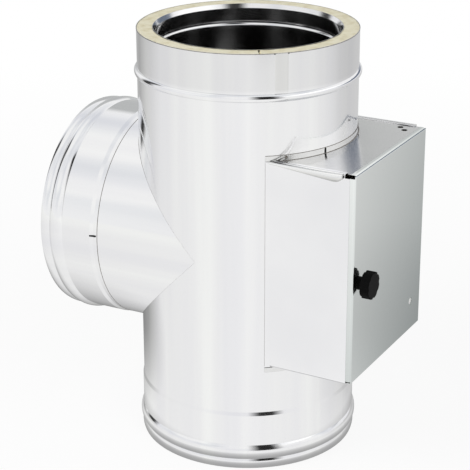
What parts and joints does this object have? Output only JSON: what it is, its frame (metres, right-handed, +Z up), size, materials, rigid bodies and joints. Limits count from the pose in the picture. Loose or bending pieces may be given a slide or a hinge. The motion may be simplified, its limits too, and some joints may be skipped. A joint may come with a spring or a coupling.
{
  "type": "insulated flue tee with inspection door",
  "caption": "Twin-wall insulated flue tee: upright run with side branch and a rectangular inspection box with a hinged, latched door.",
  "frame": {"origin": "centre of the run's bottom rim", "axes": "+Z up along the run, +X out through the inspection door, the branch points to -X"},
  "size_m": [0.4818, 0.31, 0.588],
  "materials": {
    "polished_steel": "polished",
    "satin_steel": "satin",
    "flue_steel": "bright",
    "mineral_wool": "matt",
    "black_plastic": "satin",
    "seal": "matt"
  },
  "bodies": {
    "tee": {"outer_casing": "polished_steel", "branch_casing": "polished_steel", "branch_collar": "polished_steel", "box_top_panel": "polished_steel", "box_bottom_panel": "polished_steel", "box_left_panel": "polished_steel", "box_right_panel": "polished_steel", "port_neck": "polished_steel", "latch_keeper": "polished_steel", "hinge_rivets": "polished_steel", "upper_frame_leaf": "polished_steel", "upper_hinge_pin": "polished_steel", "lower_frame_leaf": "polished_steel", "lower_hinge_pin": "polished_steel", "flue_liner": "flue_steel", "branch_liner": "flue_steel", "run_insulation": "mineral_wool", "branch_insulation": "mineral_wool", "box_insulation": "mineral_wool", "port_gasket": "seal"},
    "door": {"door_tray": "polished_steel", "latch_nut": "polished_steel", "upper_door_leaf": "polished_steel", "lower_door_leaf": "polished_steel", "door_panel": "satin_steel", "door_insulation": "mineral_wool", "latch_collar": "black_plastic"},
    "knob": {"knob_spindle": "polished_steel", "latch_tongue": "polished_steel", "tongue_nut": "polished_steel", "knob_grip": "black_plastic"}
  },
  "joints": [
    {"name": "door_hinge", "type": "hinge", "parent": "tee", "child": "door", "pos_m": [0.20744, 0.1202, 0.299], "axis": [0, 0, 1], "range_deg": [0, 110]},
    {"name": "knob_turn", "type": "hinge", "parent": "door", "child": "knob", "pos_m": [0.2, -0.097, 0.2925], "axis": [-1, 0, 0], "range_deg": [0, 90]}
  ]
}
